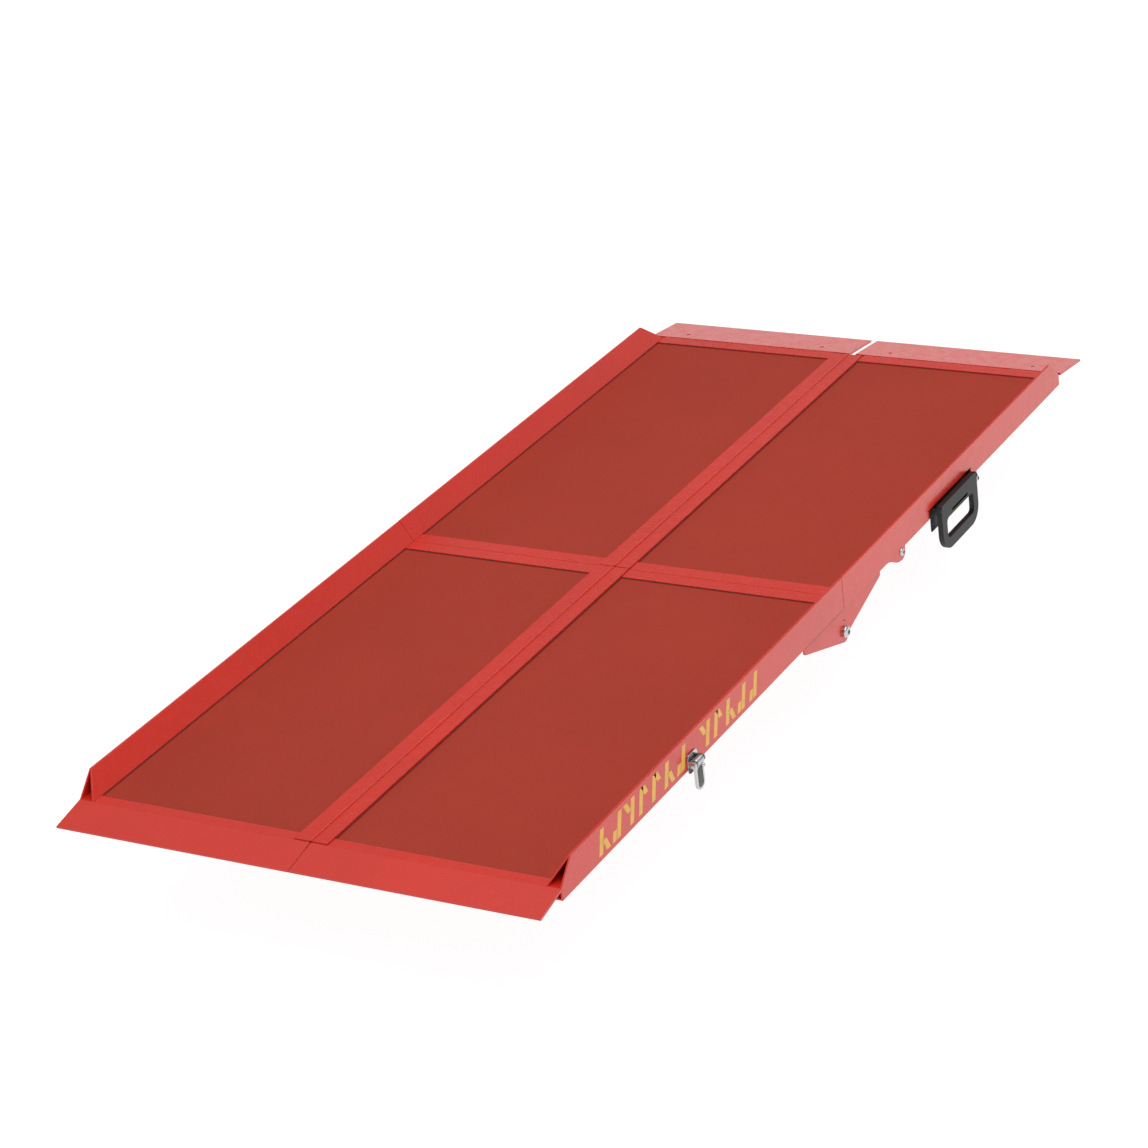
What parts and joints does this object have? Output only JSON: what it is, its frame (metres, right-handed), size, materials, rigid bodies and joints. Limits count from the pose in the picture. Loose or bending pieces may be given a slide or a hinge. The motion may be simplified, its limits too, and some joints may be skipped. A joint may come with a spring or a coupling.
{
  "type": "folding wheelchair ramp",
  "caption": "Portable wheelchair ramp that folds lengthwise and across, with kerbs, end lips, carrying handles and pull latches.",
  "frame": {"origin": "centre of the footprint, at the height of the lowest point of the handles, with the ramp open and its deck level", "axes": "+X up the ramp, from the lower lip to the upper lips; +Y to the left of someone going up; +Z out of the deck"},
  "size_m": [1.835, 0.789, 0.1163],
  "materials": {
    "red_paint": "glossy red paint",
    "grip_sheet": "matt, fine grit",
    "core": "plain board",
    "black_plastic": "satin moulded",
    "grey_plastic": "matt, ribbed",
    "bright_steel": "bright plated"
  },
  "bodies": {
    "right_lower": {"right_lower_kerb_rail": "red_paint", "right_lower_centre_rail": "red_paint", "right_lower_low_end_rail": "red_paint", "right_lower_high_end_rail": "red_paint", "right_lower_core_panel": "core", "right_lower_grip_sheet": "grip_sheet", "right_lower_centre_hinge_leaf": "red_paint", "right_lower_lip": "red_paint", "right_lower_gusset": "red_paint", "right_pivot_bolt": "bright_steel", "right_latch_plate": "bright_steel", "right_latch_pin": "bright_steel", "lower_centre_hinge_pin": "bright_steel"},
    "right_upper": {"right_upper_kerb_rail": "red_paint", "right_upper_centre_rail": "red_paint", "right_upper_low_end_rail": "red_paint", "right_upper_high_end_rail": "red_paint", "right_upper_core_panel": "core", "right_upper_grip_sheet": "grip_sheet", "right_upper_centre_hinge_leaf": "red_paint", "right_stop_bolt": "bright_steel", "right_keeper_bolt": "bright_steel", "right_handle_base": "black_plastic", "right_handle_pin": "bright_steel", "right_upper_lip_pin": "bright_steel", "upper_centre_hinge_pin": "bright_steel"},
    "right_upper_lip": {"right_upper_lip": "red_paint"},
    "right_handle": {"right_handle_loop": "black_plastic"},
    "right_latch": {"right_latch_loop": "bright_steel", "right_latch_pad": "grey_plastic"},
    "left_lower": {"left_lower_kerb_rail": "red_paint", "left_lower_centre_rail": "red_paint", "left_lower_low_end_rail": "red_paint", "left_lower_high_end_rail": "red_paint", "left_lower_core_panel": "core", "left_lower_grip_sheet": "grip_sheet", "left_lower_centre_hinge_leaf": "red_paint", "left_lower_lip": "red_paint", "left_lower_gusset": "red_paint", "left_pivot_bolt": "bright_steel", "left_latch_plate": "bright_steel", "left_latch_pin": "bright_steel"},
    "left_upper": {"left_upper_kerb_rail": "red_paint", "left_upper_centre_rail": "red_paint", "left_upper_low_end_rail": "red_paint", "left_upper_high_end_rail": "red_paint", "left_upper_core_panel": "core", "left_upper_grip_sheet": "grip_sheet", "left_upper_centre_hinge_leaf": "red_paint", "left_stop_bolt": "bright_steel", "left_keeper_bolt": "bright_steel", "left_handle_base": "black_plastic", "left_handle_pin": "bright_steel", "left_upper_lip_pin": "bright_steel"},
    "left_upper_lip": {"left_upper_lip": "red_paint"},
    "left_handle": {"left_handle_loop": "black_plastic"},
    "left_latch": {"left_latch_loop": "bright_steel", "left_latch_pad": "grey_plastic"}
  },
  "joints": [
    {"name": "side_fold", "type": "hinge", "parent": "right_lower", "child": "left_lower", "pos_m": [-0.0175, 0, 0.0864], "axis": [1, 0, 0], "range_deg": [0, 170]},
    {"name": "right_cross_fold", "type": "hinge", "parent": "right_lower", "child": "right_upper", "pos_m": [-0.0175, -0.38, 0.0288], "axis": [0, 1, 0], "range_deg": [0, 180]},
    {"name": "left_cross_fold", "type": "hinge", "parent": "left_lower", "child": "left_upper", "pos_m": [-0.0175, 0.38, 0.0288], "axis": [0, 1, 0], "range_deg": [0, 180]},
    {"name": "right_handle_swing", "type": "hinge", "parent": "right_upper", "child": "right_handle", "pos_m": [0.379, -0.387, 0.0723], "axis": [-1, 0, 0], "range_deg": [0, 110]},
    {"name": "right_latch_swing", "type": "hinge", "parent": "right_lower", "child": "right_latch", "pos_m": [-0.5025, -0.3895, 0.0768], "axis": [-1, 0, 0], "range_deg": [0, 110]},
    {"name": "right_lip_tilt", "type": "hinge", "parent": "right_upper", "child": "right_upper_lip", "pos_m": [0.8263, -0.19, 0.0817], "axis": [0, -1, 0], "range_deg": [0, 25]},
    {"name": "left_handle_swing", "type": "hinge", "parent": "left_upper", "child": "left_handle", "pos_m": [0.379, 0.387, 0.0723], "axis": [1, 0, 0], "range_deg": [0, 110]},
    {"name": "left_latch_swing", "type": "hinge", "parent": "left_lower", "child": "left_latch", "pos_m": [-0.5025, 0.3895, 0.0768], "axis": [1, 0, 0], "range_deg": [0, 110]},
    {"name": "left_lip_tilt", "type": "hinge", "parent": "left_upper", "child": "left_upper_lip", "pos_m": [0.8263, 0.19, 0.0817], "axis": [0, -1, 0], "range_deg": [0, 25]}
  ],
  "couplings": [
    {"joint": "left_cross_fold", "follows": "right_cross_fold", "ratio": 1}
  ]
}
